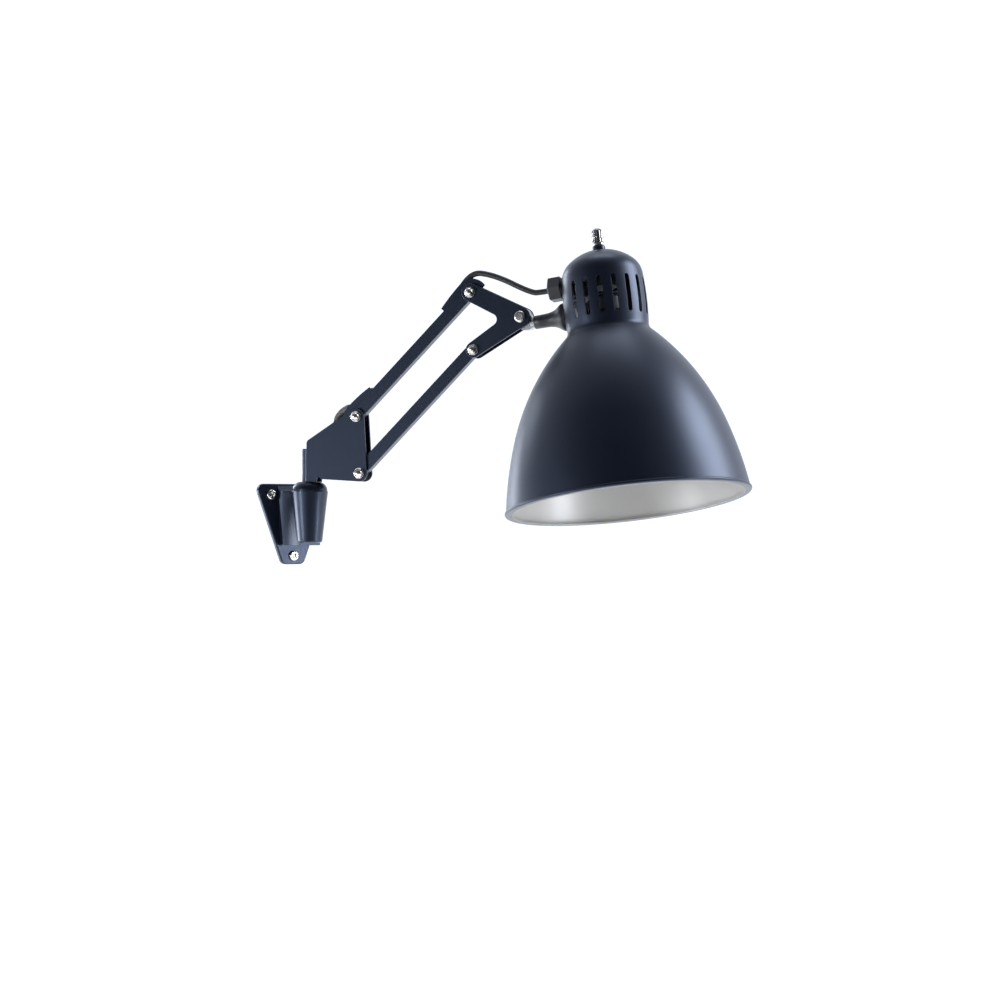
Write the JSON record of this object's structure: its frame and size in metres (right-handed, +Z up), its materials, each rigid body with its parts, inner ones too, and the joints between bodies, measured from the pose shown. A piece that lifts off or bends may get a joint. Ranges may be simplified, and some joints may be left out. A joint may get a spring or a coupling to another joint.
{
  "type": "articulating wall lamp",
  "caption": "Wall lamp with a swivelling fork, parallel channel arms, tilting head plates and a slotted bell shade.",
  "frame": {"origin": "middle of the bracket's back face, on the wall", "axes": "+Y into the wall, -Y out into the room, +Z up"},
  "size_m": [0.3175, 0.4173, 0.3024],
  "materials": {
    "navy_paint": "satin powder coat",
    "navy_shade": "satin powder coat outside, light silver-grey inside",
    "nickel": "bright nickel",
    "steel": "zinc plated",
    "zinc": "cast, grainy",
    "brass": "plain",
    "black_plastic": "fine texture",
    "black_rubber": "matt",
    "sleeve_grey": "glossy",
    "cable": "semi-matt"
  },
  "bodies": {
    "wall_bracket": {"wall_bracket": "navy_paint", "wall_screws": "nickel", "socket_bush": "black_plastic", "thrust_washer": "black_plastic", "terminal_block": "black_plastic", "lead_wall": "cable"},
    "fork": {"post_tube": "steel", "fork_bracket": "navy_paint", "fork_spacers": "black_plastic", "fork_bolts": "nickel", "fork_nuts": "nickel", "fork_washers": "nickel", "lead_riser": "cable", "lead_at_fork": "cable", "lead_sleeve": "sleeve_grey"},
    "upper_arm": {"upper_arm": "navy_paint", "upper_arm_shoe_lower": "navy_paint", "upper_arm_shoe_upper": "navy_paint", "upper_arm_bushes": "steel", "lead_in_arm": "cable", "lead_loop_rear": "cable"},
    "lower_arm": {"lower_arm": "navy_paint", "lower_arm_bushes": "steel"},
    "head_bracket": {"head_plate_near": "navy_paint", "head_plate_far": "navy_paint", "head_spacers": "black_plastic", "head_bolts": "nickel", "head_nuts": "nickel", "head_washers": "nickel", "front_bolt": "nickel", "front_nut": "nickel", "tongue_washers": "black_plastic", "lead_loop_middle": "cable"},
    "neck": {"swivel_tongue": "zinc", "neck_trumpet": "black_plastic", "neck_nut": "steel"},
    "shade": {"shade": "navy_shade", "neck_gasket": "black_rubber", "cable_gland": "black_plastic", "gland_washer": "black_rubber", "gland_nut": "steel", "holder_bracket": "steel", "lampholder": "black_plastic", "lampholder_sleeve": "brass", "lampholder_contact": "brass", "switch_body": "black_plastic", "switch_collar": "navy_paint", "lead_loop_front": "cable", "lead_tail": "cable"},
    "switch_knob": {"switch_knob": "black_plastic"}
  },
  "joints": [
    {"name": "fork_swivel", "type": "hinge", "parent": "wall_bracket", "child": "fork", "pos_m": [0, -0.034, 0.04], "axis": [0, 0, 1], "range_deg": [-112, 37]},
    {"name": "arm_lift", "type": "hinge", "parent": "fork", "child": "upper_arm", "pos_m": [0.02932, -0.07263, 0.0997], "axis": [-0.7965, -0.6046, 0], "range_deg": [-50, 26], "deforming": ["lead_at_fork", "lead_sleeve"]},
    {"name": "lower_arm_lift", "type": "hinge", "parent": "fork", "child": "lower_arm", "pos_m": [0.03124, -0.07516, 0.0478], "axis": [-0.7965, -0.6046, 0], "range_deg": [-50, 26]},
    {"name": "head_level", "type": "hinge", "parent": "upper_arm", "child": "head_bracket", "pos_m": [0.09578, -0.16019, 0.21039], "axis": [-0.7965, -0.6046, 0], "range_deg": [-26, 50], "deforming": ["lead_loop_rear"]},
    {"name": "head_tilt", "type": "hinge", "parent": "head_bracket", "child": "neck", "pos_m": [0.12456, -0.1981, 0.18709], "axis": [-0.7965, -0.6046, 0], "range_deg": [-35, 70], "deforming": ["lead_loop_middle"]},
    {"name": "shade_roll", "type": "hinge", "parent": "neck", "child": "shade", "pos_m": [0.16104, -0.24616, 0.18934], "axis": [0.598, -0.7878, 0.1478], "range_deg": [-53, 66], "deforming": ["lead_loop_front"]},
    {"name": "switch_turn", "type": "hinge", "parent": "shade", "child": "switch_knob", "pos_m": [0.17157, -0.24805, 0.25479], "axis": [0.0014, 0.1854, 0.9827], "range_deg": [0, 90]}
  ],
  "couplings": [
    {"joint": "lower_arm_lift", "follows": "arm_lift", "ratio": 1},
    {"joint": "head_level", "follows": "arm_lift", "ratio": -1}
  ]
}
